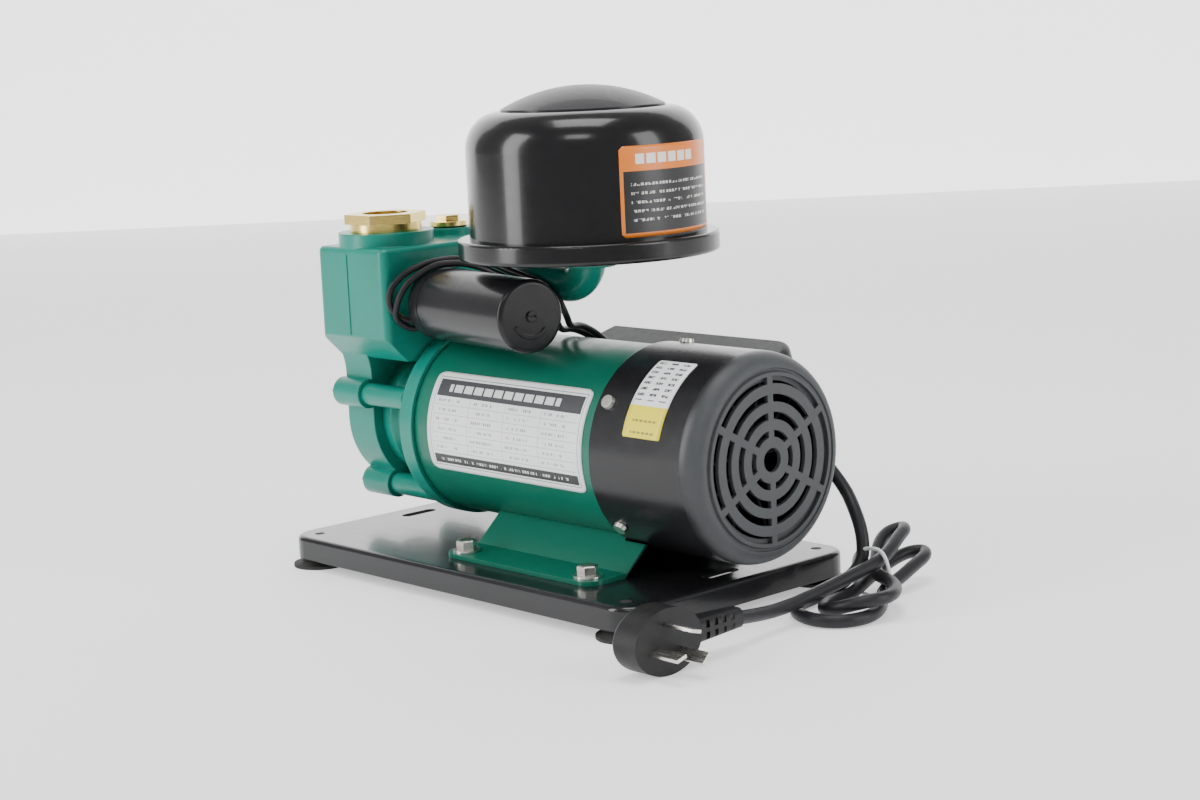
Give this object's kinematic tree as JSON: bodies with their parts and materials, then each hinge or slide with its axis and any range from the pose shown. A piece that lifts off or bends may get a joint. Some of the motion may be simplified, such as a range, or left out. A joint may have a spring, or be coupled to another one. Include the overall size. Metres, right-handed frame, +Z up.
{
  "type": "water pump",
  "caption": "Green and black self-priming domestic water pump on a black base plate, with a pressure tank on top, a pressure switch and a tied mains cord.",
  "frame": {"origin": "centre of the base plate on the floor under the rubber feet", "axes": "+X along the motor axis towards the fan, +Y away from the side with the rating plate, +Z up"},
  "size_m": [0.372, 0.234, 0.271],
  "materials": {
    "green_paint": "gloss",
    "black_paint": "gloss",
    "brass": "polished",
    "zinc_steel": "satin",
    "plain_steel": "satin",
    "copper_windings": "gloss",
    "black_plastic": "satin",
    "grey_plastic": "satin",
    "black_rubber": "matte",
    "seal_ceramic": "satin",
    "plated_pins": "gloss"
  },
  "bodies": {
    "pump": {"base_plate": "black_paint", "bearing_outer_rings": "plain_steel", "capacitor": "grey_plastic", "casing_bolts": "zinc_steel", "casing_o_ring": "black_rubber", "check_valve_bracket": "grey_plastic", "check_valve_pin": "plain_steel", "cord_drop": "black_rubber", "cord_gland": "black_plastic", "cord_hank": "black_rubber", "cord_plug_run": "black_rubber", "fan_cover": "black_plastic", "fan_cover_screws": "zinc_steel", "foot_bolts": "zinc_steel", "foot_nuts": "zinc_steel", "foot_washers": "zinc_steel", "front_bracket": "green_paint", "inlet_bush": "brass", "motor_foot": "green_paint", "motor_tube": "green_paint", "outlet_bush": "brass", "plug_body": "black_rubber", "plug_pins": "plated_pins", "pump_casing": "green_paint", "rear_shield": "green_paint", "rubber_feet": "black_rubber", "seal_seat": "seal_ceramic", "stator_core": "plain_steel", "stator_windings": "copper_windings", "switch_base": "black_plastic", "switch_diaphragm": "black_rubber", "switch_guide": "grey_plastic", "switch_housing": "black_plastic", "switch_leads": "black_rubber", "switch_nipple": "brass", "switch_screw": "zinc_steel", "tank_base": "black_paint", "tank_bladder": "black_rubber", "tank_cap": "black_paint", "tank_elbow": "green_paint", "tank_nut": "black_paint", "tank_shell": "black_paint", "terminal_box": "black_plastic", "terminal_box_lid": "black_plastic", "terminal_box_screws": "zinc_steel", "tie_bolts": "zinc_steel"},
    "rotor": {"shaft": "zinc_steel", "rotor_core": "plain_steel", "bearing_inner_rings": "plain_steel", "bearing_balls": "plain_steel", "seal_head": "seal_ceramic", "impeller": "brass", "impeller_key": "zinc_steel", "cooling_fan": "black_plastic"},
    "valve_flap": {"check_valve_flap": "brass"},
    "filler_washer": {"priming_washer": "black_rubber"},
    "filler_plug": {"priming_plug": "brass"},
    "switch_rod": {"switch_plunger": "grey_plastic"}
  },
  "joints": [
    {"name": "rotor_spin", "type": "hinge", "parent": "pump", "child": "rotor", "pos_m": [0, 0.008, 0.08], "axis": [1, 0, 0], "continuous": true},
    {"name": "check_valve_swing", "type": "hinge", "parent": "pump", "child": "valve_flap", "pos_m": [-0.1295, 0.0365, 0.17], "axis": [0, -1, 0], "range_deg": [0, 55]},
    {"name": "priming_plug_lift", "type": "slide", "parent": "pump", "child": "filler_washer", "axis": [0, 0, 1], "range_m": [0, 0.006]},
    {"name": "priming_plug_turn", "type": "hinge", "parent": "filler_washer", "child": "filler_plug", "pos_m": [-0.121, 0.031, 0.19], "axis": [0, 0, 1], "range_deg": [0, 1440]},
    {"name": "switch_plunger_travel", "type": "slide", "parent": "pump", "child": "switch_rod", "axis": [0.9857, -0.1685, 0], "range_m": [0, 0.0015], "stiffness_N_per_m": 2000}
  ],
  "couplings": [
    {"joint": "priming_plug_turn", "follows": "priming_plug_lift", "rad_per_m": 4188.8}
  ]
}
